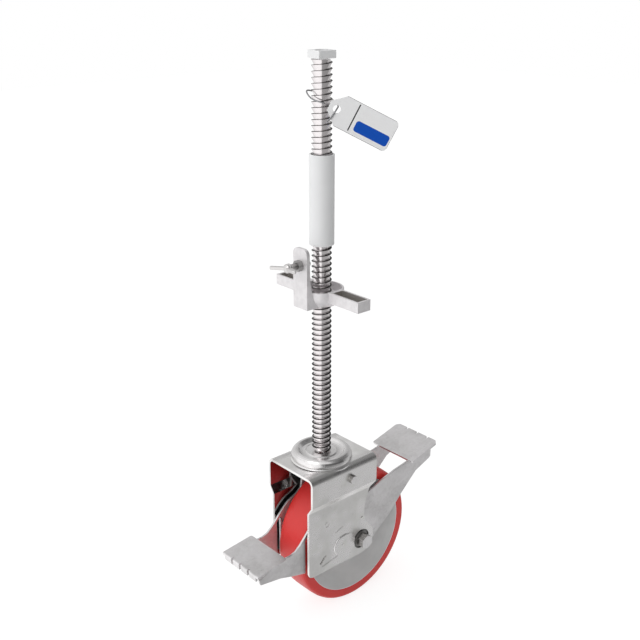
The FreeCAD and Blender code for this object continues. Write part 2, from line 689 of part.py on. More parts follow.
def make_tag():
    """Blank plastic swing tag: a plate with a tapered end and a hole."""
    thick = 0.8
    outline = [(-10.0, 6.0), (5.5, 19.6), (70.0, 19.6), (73.2, 18.0), (74.6, 14.6), (74.6, -14.6),
               (73.2, -18.0), (70.0, -19.6), (5.5, -19.6), (-10.0, -6.0)]

    def prism(points):
        low = [facing_plane(x, y, 16.0 - thick / 2) for x, y in points]
        out = facing_plane(0, 0, 1.0) - facing_plane(0, 0, 0.0)
        return Part.Face(Part.makePolygon(low + [low[0]])).extrude(out * thick)

    hole_r = 4.7
    circle = [(hole_r * math.cos(math.radians(20 * i)), hole_r * math.sin(math.radians(20 * i)))
              for i in range(18)]
    return prism(outline).cut(prism(circle))


def make_tag_wire():
    """Steel wire bent round the spindle and through the tag's hole."""
    points = [
        V(-8.2, -15.4, 467.0), V(-12.4, -11.6, 468.9), V(-17.0, 1.4, 473.4), V(-16.6, 8.0, 478.4),
        V(-11.5, 13.0, 480.2), V(0.0, WIRE_BACK, 477.6), V(13.0, 12.6, 472.0), V(18.4, -2.0, 466.6),
        V(12.4, -15.4, 462.6), facing_plane(0, 0, 16.0), V(-1.4, -22.0, 454.4), V(-4.6, -19.2, 449.0),
        V(-7.2, -17.4, 446.0)]
    curve = Part.BSplineCurve()
    curve.interpolate(points)
    span = curve.LastParameter - curve.FirstParameter
    path = [curve.value(curve.FirstParameter + span * i / WIRE_STEPS) for i in range(WIRE_STEPS + 1)]
    return faceted_rod(path, WIRE_R, 8)


def main():
    """Build every node and write it out."""
    os.makedirs("parts", exist_ok=True)
    plate = make_brake_plate()
    nodes = {
        "spindle": make_spindle(),
        "end_stop": make_end_stop(),
        "sleeve": make_sleeve(),
        "tag": make_tag(),
        "tag_wire": make_tag_wire(),
        "bearing_cap": make_cap(),
        "dust_seal": make_seal(),
        "upper_balls": make_balls(16, 33.0, 3.1, -5.4),
        "lower_balls": make_balls(14, 24.5, 2.5, -13.7),
        "lower_race": make_lower_race(),
        "fork": make_fork(),
        "cross_pin": make_cross_pin(),
        "return_spring": make_return_spring(),
        "axle_bolt": make_axle_bolt(),
        "axle_nut": make_axle_nut(),
        "axle_washers": make_washers(),
        "axle_tube": make_axle_tube(),
        "pivot_bushes": make_pivot_bushes(),
        "wheel_core": make_core(),
        "tread": make_tread(),
        "hub_bushes": make_hub_bushes(),
        "brake_plate_near": plate,
        "brake_plate_far": mirrored(plate),
        "front_pedal": make_front_pedal(),
        "rear_pedal": make_rear_pedal(),
        "push_bar": make_push_bar(),
        "brake_lever": make_brake_lever(),
        "brake_pad": make_brake_pad(),
        "adjusting_nut": make_adjusting_nut(),
        "clamp_nut": make_clamp_nut(),
        "wing_screw": make_wing_screw(),
    }
    for node, shape in nodes.items():
        export(node, shape)
        print(node, shape.isValid(), len(shape.Solids), round(shape.Volume, 1))


main()
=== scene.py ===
"""Looks of a braked scaffold castor: a threaded spindle, its adjusting nut and a braked swivel wheel.

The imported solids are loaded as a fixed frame. They keep their shape and get a finish and softened edges.
Only the thread is rebuilt, as a finer mesh on the same body. Lengths are in metres, and the thread's own
profile is in millimetres.
"""

import json
import logging
import math
from dataclasses import dataclass
from enum import Enum
from typing import Dict, List, Mapping, Optional, Protocol, Sequence, Tuple, Union

import bmesh
import bpy
from mathutils import Matrix, Vector

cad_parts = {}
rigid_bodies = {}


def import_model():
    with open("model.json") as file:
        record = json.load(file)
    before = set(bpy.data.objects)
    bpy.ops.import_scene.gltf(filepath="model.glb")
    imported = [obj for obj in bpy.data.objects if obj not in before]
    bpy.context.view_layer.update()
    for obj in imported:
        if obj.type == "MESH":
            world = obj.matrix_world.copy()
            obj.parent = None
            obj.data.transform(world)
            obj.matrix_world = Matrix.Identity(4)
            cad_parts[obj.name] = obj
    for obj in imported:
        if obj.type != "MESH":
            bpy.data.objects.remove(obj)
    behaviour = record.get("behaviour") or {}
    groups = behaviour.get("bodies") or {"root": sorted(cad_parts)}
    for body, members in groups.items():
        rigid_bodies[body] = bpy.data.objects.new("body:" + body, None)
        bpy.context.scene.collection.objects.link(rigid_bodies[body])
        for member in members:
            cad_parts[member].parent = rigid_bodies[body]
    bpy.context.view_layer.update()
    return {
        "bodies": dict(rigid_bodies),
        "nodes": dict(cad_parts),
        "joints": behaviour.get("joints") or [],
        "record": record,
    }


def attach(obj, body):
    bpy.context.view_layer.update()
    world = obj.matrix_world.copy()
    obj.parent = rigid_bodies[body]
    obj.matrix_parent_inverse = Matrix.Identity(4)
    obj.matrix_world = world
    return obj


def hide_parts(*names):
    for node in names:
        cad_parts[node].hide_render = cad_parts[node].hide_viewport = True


LOG = logging.getLogger("castor")
MM = 0.001
TINY = 1e-6
Colour = Tuple[float, float, float]
Point = Tuple[float, float, float]
Pair = Tuple[float, float]
Box = Tuple[float, float, float, float]
CENTRE: Point = (0.0, 0.0, 0.0)
EVEN: Point = (1.0, 1.0, 1.0)
AXLE: Point = (0.041, 0.0, -0.140)
WHITE_LIGHT = (1, 1, 1, 1)


class Axis(Enum):
    """A direction of the object's frame."""

    X = "X"
    Y = "Y"
    Z = "Z"


class Ray(Enum):
    """A kind of ray that a shader tells apart."""

    CAMERA = "Is Camera Ray"
    TRANSMISSION = "Is Transmission Ray"


class Maths(Enum):
    """An operation of the Math node."""

    ADD = "ADD"
    SUBTRACT = "SUBTRACT"
    MULTIPLY = "MULTIPLY"
    DIVIDE = "DIVIDE"
    POWER = "POWER"
    ABSOLUTE = "ABSOLUTE"
    MAXIMUM = "MAXIMUM"
    MINIMUM = "MINIMUM"


class Wire:
    """A varying shader value whose arithmetic adds Math nodes."""

    def __init__(self, shader: "Shader", socket: bpy.types.NodeSocket) -> None:
        """Wraps one output socket of a shader."""
        self.shader = shader
        self.socket = socket

    def maths(self, operation: Maths, *others: "Number") -> "Wire":
        """Adds a Math node that starts from this value.

        Args:
            operation: the Math node's operation.
            others: the node's further inputs.

        Returns:
            The node's result.
        """
        values = {0: self}
        values.update({i + 1: other for i, other in enumerate(others)})
        return self.shader.add("ShaderNodeMath", {"operation": operation.value}, values)

    def __add__(self, other: "Number") -> "Wire":
        """The sum of two values."""
        return self.maths(Maths.ADD, other)

    __radd__ = __add__

    def __mul__(self, other: "Number") -> "Wire":
        """The product of two values."""
        return self.maths(Maths.MULTIPLY, other)

    __rmul__ = __mul__

    def __sub__(self, other: "Number") -> "Wire":
        """The difference of two values."""
        return self.maths(Maths.SUBTRACT, other)

    def __rsub__(self, other: float) -> "Wire":
        """A number less this value."""
        return self.maths(Maths.MULTIPLY, -1.0) + other

    def __truediv__(self, other: "Number") -> "Wire":
        """The quotient of two values."""
        return self.maths(Maths.DIVIDE, other)

    def __pow__(self, other: "Number") -> "Wire":
        """This value raised to a power."""
        return self.maths(Maths.POWER, other)

    def __abs__(self) -> "Wire":
        """The size of this value."""
        return self.maths(Maths.ABSOLUTE)

    def rising(self, low: float, high: float) -> "Wire":
        """A soft step.

        Args:
            low: the value at which the step leaves 0.
            high: the value at which it reaches 1.

        Returns:
            A mask from 0 to 1.
        """
        return self.shader.add("ShaderNodeMapRange", {"interpolation_type": "SMOOTHSTEP"},
                               {"Value": self, "From Min": low, "From Max": high})

    def falling(self, low: float, high: float) -> "Wire":
        """The soft step the other way, from 1 at low to 0 at high."""
        return 1.0 - self.rising(low, high)

    def either(self, other: "Number") -> "Wire":
        """The larger of two values."""
        return self.maths(Maths.MAXIMUM, other)

    def both(self, other: "Number") -> "Wire":
        """The smaller of two values."""
        return self.maths(Maths.MINIMUM, other)


Number = Union[float, Wire]


class Shader:
    """One material, or the world, as a tree of nodes."""

    def __init__(self, owner: Union[bpy.types.Material, bpy.types.World]) -> None:
        """Takes over the nodes of a material, which hold one Principled shader, or of a world.

        Args:
            owner: the material or the world.
        """
        owner.use_nodes = True
        self.material = owner
        self.tree = owner.node_tree
        self.surface = self.tree.nodes.get("Principled BSDF")
        place = "Generated" if self.surface is None else "Object"
        self.position = self.add("ShaderNodeTexCoord", {}, {}, place)
        self.facing = self.add("ShaderNodeTexCoord", {}, {}, "Normal")

    @classmethod
    def named(cls, name: str) -> "Shader":
        """A new material of a name."""
        return cls(bpy.data.materials.new(name))

    def show(self, shader: Wire) -> None:
        """Makes a shader the tree's result."""
        for node in self.tree.nodes:
            if node.type in {"OUTPUT_MATERIAL", "OUTPUT_WORLD"}:
                self.tree.links.new(shader.socket, node.inputs["Surface"])

    def add(self, kind: str, settings: Mapping[str, object], values: Mapping[Union[str, int], object],
            output: Union[str, int] = 0) -> Wire:
        """Adds any node.

        Args:
            kind: the node's type.
            settings: attributes set first.
            values: numbers, colours or wires for its input sockets, by name or number.
            output: the output socket that is wanted.

        Returns:
            That output as a wire.
        """
        node = self.tree.nodes.new(kind)
        for key, setting in settings.items():
            setattr(node, key, setting)
        for key, value in values.items():
            if isinstance(value, Wire):
                self.tree.links.new(value.socket, node.inputs[key])
            else:
                node.inputs[key].default_value = value
        return Wire(self, node.outputs[output])

    def part(self, vector: Wire, axis: Axis) -> Wire:
        """One component of a vector."""
        return self.add("ShaderNodeSeparateXYZ", {}, {0: vector}, axis.value)

    def at(self, axis: Axis) -> Wire:
        """Place along an axis of the object's frame."""
        return self.part(self.position, axis)

    def faces(self, axis: Axis) -> Wire:
        """How far the surface faces along an axis, from -1 to 1."""
        return self.part(self.facing, axis)

    def sees(self, ray: Ray) -> Wire:
        """1 for rays of a kind and 0 for the others."""
        return self.add("ShaderNodeLightPath", {}, {}, ray.value)

    def away(self, origin: Sequence[float]) -> Wire:
        """The way from a point of the object's frame to the surface."""
        return self.add("ShaderNodeVectorMath", {"operation": "SUBTRACT"}, {0: self.position, 1: origin})

    def radius(self, first: Axis, second: Axis, origin: Sequence[float] = CENTRE) -> Wire:
        """Distance from a line through a point.

        Args:
            first: one axis square to the line.
            second: the other axis square to it.
            origin: the point.

        Returns:
            The distance.
        """
        moved = self.away(origin)
        a = self.part(moved, first)
        b = self.part(moved, second)
        return (a * a + b * b) ** 0.5

    def along(self, direction: Sequence[float], origin: Sequence[float] = CENTRE) -> Wire:
        """Distance along a direction, from a point of the object's frame."""
        values = {0: self.away(origin), 1: direction}
        return self.add("ShaderNodeVectorMath", {"operation": "DOT_PRODUCT"}, values, "Value")

    def noise(self, size: float, detail: float = 2.0, stretch: Sequence[float] = EVEN,
              roughness: float = 0.5) -> Wire:
        """Smooth noise about 0.5.

        Args:
            size: the size of a blotch.
            detail: octaves of finer noise.
            stretch: how much longer a blotch is along each axis.
            roughness: how strong the finer noise is.

        Returns:
            The noise.
        """
        scaled = self.add("ShaderNodeVectorMath", {"operation": "DIVIDE"}, {0: self.position, 1: stretch})
        return self.add("ShaderNodeTexNoise", {}, {"Vector": scaled, "Scale": 1.0 / size,
                                                   "Detail": detail, "Roughness": roughness})

    def blend(self, mask: Number, under: object, over: object) -> Wire:
        """Colour mix.

        Args:
            mask: how much of the second colour shows.
            under: the first colour, as numbers or a wire.
            over: the second colour.

        Returns:
            The mixed colour.
        """
        colours = {"Factor": mask}
        for key, value in (("A", under), ("B", over)):
            colours[key] = value if isinstance(value, Wire) else (*value, 1.0)
        return self.mix(colours)

    def mix(self, colours: Mapping[str, object]) -> Wire:
        """Adds a colour Mix node, whose sockets are picked by type as well as name."""
        node = self.tree.nodes.new("ShaderNodeMix")
        node.data_type = "RGBA"
        for socket in node.inputs:
            wanted = socket.name in colours and (socket.type == "RGBA" or socket.name == "Factor")
            if wanted and not (socket.name == "Factor" and socket.type != "VALUE"):
                value = colours[socket.name]
                if isinstance(value, Wire):
                    self.tree.links.new(value.socket, socket)
                else:
                    socket.default_value = value
        result = [s for s in node.outputs if s.type == "RGBA"][0]
        return Wire(self, result)

    def bump(self, height: Wire, depth: float, strength: float = 1.0) -> None:
        """Feeds the surface's normal from a relief.

        Args:
            height: the relief.
            depth: the depth that a height of 1 stands for.
            strength: how much of it shows.
        """
        normal = self.add("ShaderNodeBump", {}, {"Height": height, "Distance": depth, "Strength": strength})
        self.tree.links.new(normal.socket, self.surface.inputs["Normal"])

    def set(self, **values: object) -> None:
        """Sets or links the surface's own sockets, named with underscores for spaces."""
        for key, value in values.items():
            socket = self.surface.inputs[key.replace("_", " ")]
            if isinstance(value, Wire):
                self.tree.links.new(value.socket, socket)
            elif socket.type == "RGBA":
                socket.default_value = (*value, 1.0)
            else:
                socket.default_value = value


class Look(Protocol):
    """Any finish."""

    def build(self) -> bpy.types.Material:
        """Makes the material."""


@dataclass(frozen=True)
class Mottle:
    """Blotches that lie where smooth noise passes a soft step."""

    size: float
    step: Pair
    share: float = 1.0
    detail: float = 2.0
    stretch: Point = EVEN
    roughness: float = 0.5

    def noise(self, shader: Shader) -> Wire:
        """The noise that places the blotches."""
        return shader.noise(self.size, self.detail, self.stretch, self.roughness)

    def mask(self, shader: Shader) -> Wire:
        """Where the blotches lie, from 0 to 1."""
        return self.noise(shader).rising(*self.step)

    def tint(self, mask: Wire, under: object, over: object) -> Wire:
        """Lays the blotches over a colour.

        Args:
            mask: where they lie.
            under: the colour below them.
            over: their own colour, of which their share shows.

        Returns:
            The mixed colour.
        """
        return mask.shader.blend(mask * self.share, under, over)


@dataclass(frozen=True)
class PressedZinc:
    """Zinc coated sheet: satin and mottled; smoother facing the wheel, with painted shade there and on top.
    """

    name: str = "fork_zinc"
    tone: Colour = (0.90, 0.885, 0.885)
    cloudy: Colour = (0.83, 0.825, 0.80)
    polish: float = 0.24
    mirror: float = 0.10
    spangle: float = 0.12
    shaded: float = 0.70
    level: float = 0.0
    dull: float = 0.0
    drop: float = 0.0
    brow: Pair = (0.023, 0.047)
    inner: Pair = (-0.018, -0.006)
    upward: Pair = (0.55, 0.85)
    worn: float = 0.84
    glint: Colour = (0.98, 0.98, 0.98)
    scratch: Colour = (0.97, 0.96, 0.95)
    fleck: Colour = (0.42, 0.41, 0.40)
    pit: Colour = (0.40, 0.40, 0.39)
    top_painted_shade: Colour = (0.30, 0.295, 0.29)
    inner_painted_shade: Colour = (0.10, 0.10, 0.10)
    cloud: Mottle = Mottle(0.019, (0.42, 0.72), 0.8)
    patch: Mottle = Mottle(0.045, (0.46, 0.60), 0.6, 1.5)
    streak: Mottle = Mottle(0.0022, (0.60, 0.78), 0.28, 2.0, (1.0, 1.0, 9.0))
    speck: Mottle = Mottle(0.0034, (0.70, 0.76), 0.2, 1.0)
    grain: Mottle = Mottle(0.0011, (0.64, 0.80), 0.16, 3.0, roughness=0.7)
    flakes_a_metre: float = 260.0
    flake_gloss: float = 0.04
    grain_grit: float = 0.10
    cloud_grit: float = 0.05
    grain_relief: float = 0.010
    cloud_relief: float = 0.014
    patch_relief: float = 0.030

    def mark(self, shader: Shader, colour: Wire) -> Wire:
        """Adds what only one piece has; here nothing."""
        return colour

    def build(self) -> bpy.types.Material:
        """Makes the material."""
        shader = Shader.named(self.name)
        cloud = self.cloud.mask(shader)
        patch = self.patch.mask(shader)
        lattice = {"Vector": shader.position, "Scale": self.flakes_a_metre}
        flake = shader.part(shader.add("ShaderNodeTexVoronoi", {}, lattice, "Color"), Axis.X)
        grain = self.grain.noise(shader)
        worn = tuple(self.worn * c for c in self.cloudy)
        colour = self.cloud.tint(cloud, self.tone, self.cloudy)
        colour = self.patch.tint(patch, colour, worn)
        colour = shader.blend(flake * self.spangle, colour, self.glint)
        colour = self.streak.tint(self.streak.mask(shader), colour, self.scratch)
        colour = self.speck.tint(self.speck.mask(shader), colour, self.fleck)
        colour = self.grain.tint(grain.rising(*self.grain.step), colour, self.pit)
        # Upward faces: painted shade, by the share in level.
        top = shader.faces(Axis.Z).rising(*self.upward)
        colour = shader.blend(top * self.level, colour, self.top_painted_shade)
        # Faces that look towards the wheel: painted shade there, by the share in shaded.
        inside = (shader.at(Axis.Y) * shader.faces(Axis.Y)).falling(*self.inner)
        colour = shader.blend(inside * self.shaded, colour, self.inner_painted_shade)
        colour = self.mark(shader, colour)
        satin = self.polish + grain * self.grain_grit + cloud * self.cloud_grit + patch * self.cloud_grit
        satin = satin - flake * self.flake_gloss
        shader.set(Base_Color=colour, Metallic=1.0 - inside * self.dull,
                   Roughness=satin * (1.0 - inside) + inside * self.mirror)
        skin = grain * self.grain_relief + cloud * self.cloud_relief + patch * self.patch_relief
        fall = abs(shader.at(Axis.Y)).rising(*self.brow)
        shader.bump(skin * (1.0 - inside) * MM - fall * self.drop, 1.0)
        return shader.material


@dataclass(frozen=True)
class ForkZinc(PressedZinc):
    """The fork's zinc, with a soft fall to the hood's bends and painted shade in the recess round its axle.
    """

    drop: float = 0.0048
    recess: Pair = (0.0148, 0.0151)
    back: Pair = (0.0355, 0.0358)
    floor: Pair = (0.0381, 0.0383)
    recess_painted_shade: Colour = (0.10, 0.098, 0.095)
    recess_shade_share: float = 0.85

    def mark(self, shader: Shader, colour: Wire) -> Wire:
        """Paints shade on the recess's floor."""
        across = abs(shader.at(Axis.Y))
        deep = across.falling(*self.floor).both(across.rising(*self.back))
        ring = shader.radius(Axis.X, Axis.Z, AXLE).falling(*self.recess)
        # The recess's floor round the axle gets painted shade.
        return shader.blend(deep.both(ring) * self.recess_shade_share, colour, self.recess_painted_shade)


@dataclass(frozen=True)
class ThreadSteel:
    """Bright rolled thread, with painted shade on the outer part of the level flank above each tooth."""

    name: str = "thread_steel"
    bright: Colour = (0.78, 0.745, 0.75)
    flank_painted_shade: Colour = (0.045, 0.043, 0.042)
    tarnish: Colour = (0.52, 0.50, 0.48)
    gleam: Colour = (0.90, 0.89, 0.88)
    edge: Pair = (0.0102, 0.0108)
    level: Pair = (0.30, 0.62)
    cloud: Mottle = Mottle(0.005, (0.52, 0.80), 0.22, 3.0)
    scratch: Mottle = Mottle(0.0009, (0.55, 0.80), 0.25, 2.0, (6.0, 6.0, 1.0))
    rough: float = 0.40
    polished: float = 0.27
    clouded: float = 0.06

    def build(self) -> bpy.types.Material:
        """Makes the material."""
        shader = Shader.named(self.name)
        unshaded = shader.radius(Axis.X, Axis.Y).falling(*self.edge)
        unshaded = unshaded.either(shader.faces(Axis.Z).falling(*self.level))
        cloud = self.cloud.noise(shader)
        # The outer part of each level flank is painted shade.
        colour = shader.blend(unshaded, self.flank_painted_shade, self.bright)
        colour = self.cloud.tint(cloud.rising(*self.cloud.step), colour, self.tarnish)
        colour = self.scratch.tint(self.scratch.mask(shader) * unshaded, colour, self.gleam)
        shader.set(Base_Color=colour, Metallic=1.0,
                   Roughness=self.rough - unshaded * self.polished + cloud * self.clouded)
        return shader.material


@dataclass(frozen=True)
class CastPlate:
    """Plated casting: pale with a fine sandy sparkle, and painted shade in the pockets of its handles."""

    name: str = "cast_plate"
    tone: Colour = (0.83, 0.81, 0.82)
    deep: Colour = (0.77, 0.75, 0.76)
    sparkle: Colour = (0.96, 0.95, 0.96)
    pocket_painted_shade: Colour = (0.36, 0.335, 0.31)
    pocket_shade_share: float = 0.85
    pocket_side: Pair = (0.0084, 0.0086)
    pocket_near: Pair = (0.0300, 0.0305)
    pocket_far: Pair = (0.0770, 0.0774)
    pocket_mouth: Pair = (0.2344, 0.2350)
    pocket_floor: Pair = (0.2230, 0.2234)
    metal: float = 0.45
    polish: float = 0.34
    grit: float = 0.14
    cloud: Mottle = Mottle(0.008, (0.35, 0.65))
    sand: Mottle = Mottle(0.0007, (0.58, 0.74), 0.30, roughness=0.6)
    swell: float = 0.8
    relief: Pair = (0.00010, 0.5)

    def build(self) -> bpy.types.Material:
        """Makes the material."""
        shader = Shader.named(self.name)
        cloud = self.cloud.noise(shader)
        sand = self.sand.noise(shader)
        colour = self.cloud.tint(cloud.rising(*self.cloud.step), self.deep, self.tone)
        colour = self.sand.tint(sand.rising(*self.sand.step), colour, self.sparkle)
        across = abs(shader.at(Axis.Y))
        up = shader.at(Axis.Z)
        inside = abs(shader.at(Axis.X)).falling(*self.pocket_side)
        inside = inside.both(across.rising(*self.pocket_near)).both(across.falling(*self.pocket_far))
        inside = inside.both(up.falling(*self.pocket_mouth)).both(up.rising(*self.pocket_floor))
        # The handles' pockets get painted shade.
        colour = shader.blend(inside * self.pocket_shade_share, colour, self.pocket_painted_shade)
        shader.set(Base_Color=colour, Metallic=self.metal, Roughness=self.polish + sand * self.grit)
        shader.bump(sand + cloud * self.swell, *self.relief)
        return shader.material


@dataclass(frozen=True)
class PlatedSteel:
    """Zinc plated fastener or wire."""

    name: str
    tone: Colour
    polish: float
    gleam: Colour = (0.82, 0.81, 0.80)
    worn: float = 0.72
    grit: float = 0.14
    cloud: Mottle = Mottle(0.004, (0.4, 0.7), 0.7, 3.0)
    brush: Mottle = Mottle(0.0007, (0.58, 0.76), 0.3, 2.0, (1.0, 5.0, 1.0))
    relief: Pair = (0.00005, 0.4)

    def build(self) -> bpy.types.Material:
        """Makes the material."""
        shader = Shader.named(self.name)
        brush = self.brush.noise(shader)
        worn = tuple(self.worn * c for c in self.tone)
        colour = self.cloud.tint(self.cloud.mask(shader), self.tone, worn)
        colour = self.brush.tint(brush.rising(*self.brush.step), colour, self.gleam)
        shader.set(Base_Color=colour, Metallic=1.0, Roughness=self.polish + brush * self.grit)
        shader.bump(brush, *self.relief)
        return shader.material


@dataclass(frozen=True)
class BoltSteel:
    """Plated bolt or pin that lies along Y: brushed ends and streaked sides; pale ends painted light, deep
    sides painted shade.
    """

    name: str = "bolt_steel"
    ends: Colour = (0.90, 0.885, 0.89)
    sides: Colour = (0.33, 0.32, 0.31)
    end_mark: Colour = (0.66, 0.65, 0.65)
    side_mark: Colour = (0.62, 0.61, 0.60)
    endways: Pair = (0.55, 0.85)
    polish: float = 0.24
    grit: float = 0.14
    streak: Mottle = Mottle(0.0009, (0.50, 0.66), 0.7, 2.0, (1.0, 9.0, 1.0))
    brush: Mottle = Mottle(0.0008, (0.45, 0.72), 0.5, 2.0, (1.0, 1.0, 8.0))
    relief: Pair = (0.00005, 0.4)

    def build(self) -> bpy.types.Material:
        """Makes the material."""
        shader = Shader.named(self.name)
        streak = self.streak.noise(shader)
        end = abs(shader.faces(Axis.Y)).rising(*self.endways)
        side = self.streak.tint(streak.rising(*self.streak.step), self.sides, self.side_mark)
        cap = self.brush.tint(self.brush.mask(shader), self.ends, self.end_mark)
        # Pale ends are painted light and deep sides painted shade, on one plated steel.
        colour = shader.blend(end, side, cap)
        shader.set(Base_Color=colour, Metallic=1.0, Roughness=self.polish + streak * self.grit)
        shader.bump(streak, *self.relief)
        return shader.material


@dataclass(frozen=True)
class WingPlate:
    """Clamp screw: plated head and wings on a darker turned shank."""

    name: str = "wing_plate"
    head: Colour = (0.66, 0.645, 0.64)
    shank: Colour = (0.34, 0.33, 0.325)
    gleam: Colour = (0.60, 0.59, 0.58)
    neck: Pair = (-0.0515, -0.0500)
    metal: float = 0.95
    polish: float = 0.24
    grit: float = 0.14
    skin: Mottle = Mottle(0.0007, (0.52, 0.74), 0.35)
    relief: Pair = (0.00005, 0.4)

    def build(self) -> bpy.types.Material:
        """Makes the material."""
        shader = Shader.named(self.name)
        skin = self.skin.noise(shader)
        turned = shader.at(Axis.X).rising(*self.neck)
        colour = shader.blend(turned, self.head, self.shank)
        colour = self.skin.tint(skin.rising(*self.skin.step), colour, self.gleam)
        shader.set(Base_Color=colour, Metallic=self.metal, Roughness=self.polish + skin * self.grit)
        shader.bump(skin, *self.relief)
        return shader.material


@dataclass(frozen=True)
class SmoothPlastic:
    """Moulded plastic or rubber with a faint satin texture and slow tonal drift."""

    name: str
    tone: Colour
    shade: Colour
    polish: float
    grit: float = 0.08
    texture: float = 0.0006
    drift: Mottle = Mottle(0.03, (0.3, 0.7))
    relief: Pair = (0.00002, 0.5)

    def mark(self, shader: Shader, colour: Wire) -> Wire:
        """Adds what only one piece has; here nothing."""
        return colour

    def build(self) -> bpy.types.Material:
        """Makes the material."""
        shader = Shader.named(self.name)
        texture = shader.noise(self.texture)
        colour = self.drift.tint(self.drift.mask(shader), self.shade, self.tone)
        colour = self.mark(shader, colour)
        shader.set(Base_Color=colour, Roughness=self.polish + texture * self.grit)
        shader.bump(texture, *self.relief)
        return shader.material


@dataclass(frozen=True)
class WheelPlastic(SmoothPlastic):
    """Grey moulded core with a painted highlight on its lip where it meets the tread."""

    name: str = "core_plastic"
    tone: Colour = (0.74, 0.74, 0.735)
    shade: Colour = (0.68, 0.68, 0.675)
    polish: float = 0.40
    lip: Colour = (0.92, 0.94, 0.95)
    lip_highlight_share: float = 0.9
    lip_edge: Pair = (0.0837, 0.0841)

    def mark(self, shader: Shader, colour: Wire) -> Wire:
        """Adds the painted highlight on the lip."""
        rim = shader.radius(Axis.X, Axis.Z, AXLE).rising(*self.lip_edge)
        # The pale lip is a painted highlight.
        return shader.blend(rim * self.lip_highlight_share, colour, self.lip)


@dataclass(frozen=True)
class CastTyre:
    """Red cast tyre, with painted light on its sides, which are a little lighter than its crown."""

    name: str = "red_tread"
    crown: Colour = (0.76, 0.032, 0.030)
    flank: Colour = (0.90, 0.055, 0.050)
    warm: Colour = (0.80, 0.06, 0.05)
    shoulder: Pair = (0.0234, 0.0248)
    polish: float = 0.36
    grit: float = 0.08
    texture: float = 0.0008
    drift: Mottle = Mottle(0.025, (0.4, 0.7), 0.12)
    relief: Pair = (0.00003, 0.4)

    def build(self) -> bpy.types.Material:
        """Makes the material."""
        shader = Shader.named(self.name)
        side = abs(shader.at(Axis.Y)).rising(*self.shoulder)
        texture = shader.noise(self.texture)
        # The sides' lighter red is painted light.
        colour = shader.blend(side, self.crown, self.flank)
        colour = self.drift.tint(self.drift.mask(shader), colour, self.warm)
        shader.set(Base_Color=colour, Roughness=self.polish + texture * self.grit)
        shader.bump(texture, *self.relief)
        return shader.material


@dataclass(frozen=True)
class TagPlastic:
    """White tag with a grey edge, a black rule and a plain blue field, set out along and up the tag.

    A box is its middle along and up the tag, and its half sizes along and up.
    """

    name: str = "tag_plastic"
    hole: Point = (0.00278, -0.02404, 0.4607)
    along: Point = (0.6684, -0.5892, -0.4540)
    upward: Point = (0.3405, -0.3002, 0.8910)
    sheet: Colour = (0.95, 0.95, 0.955)
    sheet_mark: Colour = (0.92, 0.92, 0.925)
    border: Colour = (0.38, 0.38, 0.39)
    border_box: Box = (0.0, 0.0, 0.0740, 0.0190)
    border_corner: float = 0.004
    ink: Colour = (0.012, 0.012, 0.013)
    rule_box: Box = (0.0227, 0.0003, 0.00075, 0.0170)
    rule_corner: float = 0.0002
    blue: Colour = (0.001, 0.085, 0.52)
    field_box: Box = (0.0500, -0.0072, 0.0222, 0.0068)
    field_corner: float = 0.0034
    soft: float = 0.0002
    polish: float = 0.42
    grit: float = 0.06
    specular: float = 0.2
    texture: Mottle = Mottle(0.0006, (0.4, 0.7), 0.2)
    relief: Pair = (0.00002, 0.4)

    def box(self, u: Wire, v: Wire, sizes: Box, corner: float) -> Wire:
        """Mask of a box with rounded corners.

        Args:
            u: place along the tag.
            v: place up the tag.
            sizes: the box.
            corner: the corners' radius.

        Returns:
            The mask, 1 inside.
        """
        dx = (abs(u - sizes[0]) - (sizes[2] - corner)).either(0.0)
        dy = (abs(v - sizes[1]) - (sizes[3] - corner)).either(0.0)
        return ((dx * dx + dy * dy) ** 0.5).falling(corner - self.soft, corner + self.soft)

    def build(self) -> bpy.types.Material:
        """Makes the material."""
        shader = Shader.named(self.name)
        u = shader.along(self.along, self.hole)
        v = shader.along(self.upward, self.hole)
        texture = self.texture.noise(shader)
        colour = self.texture.tint(texture.rising(*self.texture.step), self.sheet, self.sheet_mark)
        middle = self.box(u, v, self.border_box, self.border_corner)
        colour = shader.blend(1.0 - middle, colour, self.border)
        colour = shader.blend(self.box(u, v, self.rule_box, self.rule_corner), colour, self.ink)
        colour = shader.blend(self.box(u, v, self.field_box, self.field_corner), colour, self.blue)
        shader.set(Base_Color=colour, Roughness=self.polish + texture * self.grit,
                   Specular_IOR_Level=self.specular)
        shader.bump(texture, *self.relief)
        return shader.material


@dataclass(frozen=True)
class Softening:
    """Small round given to a solid's sharp edges."""

    width: float
    segments: int
    angle: float = 28.0
    weight: int = 80

    def apply(self, piece: bpy.types.Object) -> None:
        """Adds the weld, the bevel and the weighted normals to a piece.

        Args:
            piece: the mesh object that gets them.
        """
        weld = piece.modifiers.new("weld", "WELD")
        weld.merge_threshold = TINY
        bevel = piece.modifiers.new("soft_edge", "BEVEL")
        bevel.width = self.width
        bevel.segments = self.segments
        bevel.limit_method = "ANGLE"
        bevel.angle_limit = math.radians(self.angle)
        bevel.use_clamp_overlap = True
        bevel.miter_outer = "MITER_ARC"
        normals = piece.modifiers.new("even_normals", "WEIGHTED_NORMAL")
        normals.keep_sharp = False
        normals.weight = self.weight


@dataclass(frozen=True)
class Rounding:
    """Smooth round section given to a bent rod that is stored as flat facets."""

    levels: int = 2

    def apply(self, piece: bpy.types.Object) -> None:
        """Adds the weld and the subdivision to a piece.

        Args:
            piece: the mesh object that gets them.
        """
        weld = piece.modifiers.new("weld", "WELD")
        weld.merge_threshold = TINY
        round_off = piece.modifiers.new("round_section", "SUBSURF")
        round_off.levels = self.levels
        round_off.render_levels = self.levels
        piece.modifiers.new("smooth_rod", "WEIGHTED_NORMAL")


